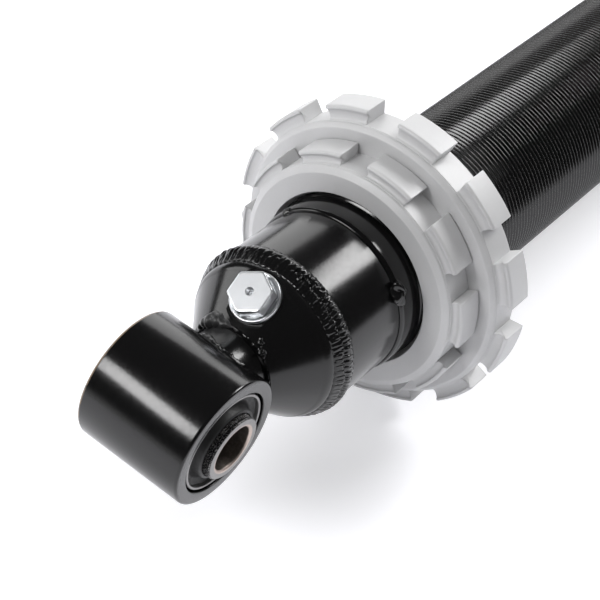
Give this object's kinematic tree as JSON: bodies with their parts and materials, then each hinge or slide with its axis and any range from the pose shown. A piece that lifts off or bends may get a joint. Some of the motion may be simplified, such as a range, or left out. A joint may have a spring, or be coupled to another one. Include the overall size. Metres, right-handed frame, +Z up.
{
  "type": "snowmobile ski shock absorber",
  "caption": "Gas-charged shock absorber with a threaded body, two castellated spring collars and bushed eyes, without its coil spring.",
  "frame": {"origin": "centre of the lower eye's bolt hole, halfway along the hole", "axes": "+X along the damper axis from the lower eye to the upper eye, +Y along the eye bolts, +Z up as it lies"},
  "size_m": [0.4968, 0.0878, 0.0878],
  "materials": {
    "black_enamel": "gloss",
    "black_thread": "satin",
    "satin_aluminium": "satin",
    "zinc_steel": "zinc plated",
    "bush_steel": "turned",
    "bush_rubber": "moulded",
    "machined_aluminium": "turned",
    "sintered_steel": "sintered",
    "spring_steel": "polished",
    "hard_chrome": "polished",
    "seal_rubber": "moulded",
    "bronze": "satin",
    "bump_foam": "moulded foam",
    "topout_nylon": "natural"
  },
  "bodies": {
    "body": {"lower_eye": "black_enamel", "lower_bush_shell": "bush_steel", "lower_bush_rubber": "bush_rubber", "neck": "black_enamel", "neck_welds": "black_enamel", "base_cap": "black_enamel", "fill_plug": "zinc_steel", "fill_plug_washer": "zinc_steel", "body_weld": "black_enamel", "body_tube": "black_enamel", "threaded_sleeve": "black_thread", "sleeve_tack_welds": "black_enamel", "rod_guide": "machined_aluminium", "guide_bush": "bronze", "guide_seal": "seal_rubber", "rod_seal": "seal_rubber", "snap_ring": "zinc_steel", "end_cap": "black_enamel", "wiper": "seal_rubber"},
    "rod": {"piston_rod": "hard_chrome", "piston": "sintered_steel", "piston_band": "bronze", "rebound_shims": "spring_steel", "compression_shims": "spring_steel", "piston_nut": "zinc_steel", "topout_spacer": "topout_nylon", "bump_stop": "bump_foam", "bump_washer": "zinc_steel", "lock_nut": "zinc_steel", "upper_eye": "black_enamel", "upper_bush_shell": "bush_steel", "upper_bush_rubber": "bush_rubber"},
    "lower_core": {"lower_bush_core": "bush_steel"},
    "upper_core": {"upper_bush_core": "bush_steel"},
    "divider": {"floating_piston": "machined_aluminium", "floating_piston_ring": "seal_rubber"},
    "lock_ring": {"lock_ring": "satin_aluminium"},
    "spring_perch": {"spring_perch": "satin_aluminium"}
  },
  "joints": [
    {"name": "rod_slide", "type": "slide", "parent": "body", "child": "rod", "axis": [1, 0, 0], "range_m": [-0.108, 0], "stiffness_N_per_m": 200, "springref_m": 0.05},
    {"name": "divider_slide", "type": "slide", "parent": "body", "child": "divider", "axis": [1, 0, 0], "range_m": [-0.0134, 0]},
    {"name": "perch_slide", "type": "slide", "parent": "body", "child": "spring_perch", "axis": [1, 0, 0], "range_m": [-0.002, 0.15]},
    {"name": "lock_ring_slide", "type": "slide", "parent": "body", "child": "lock_ring", "axis": [1, 0, 0], "range_m": [-0.002, 0.15]},
    {"name": "lower_bush_twist", "type": "hinge", "parent": "body", "child": "lower_core", "pos_m": [0, 0, 0], "axis": [0, 1, 0], "range_deg": [-15, 15], "stiffness_Nm_per_rad": 10},
    {"name": "upper_bush_twist", "type": "hinge", "parent": "rod", "child": "upper_core", "pos_m": [0.462, 0, 0], "axis": [0, 1, 0], "range_deg": [-15, 15], "stiffness_Nm_per_rad": 10}
  ],
  "couplings": [
    {"joint": "divider_slide", "follows": "rod_slide", "ratio": 0.1225},
    {"joint": "lock_ring_slide", "follows": "perch_slide", "ratio": 1}
  ]
}
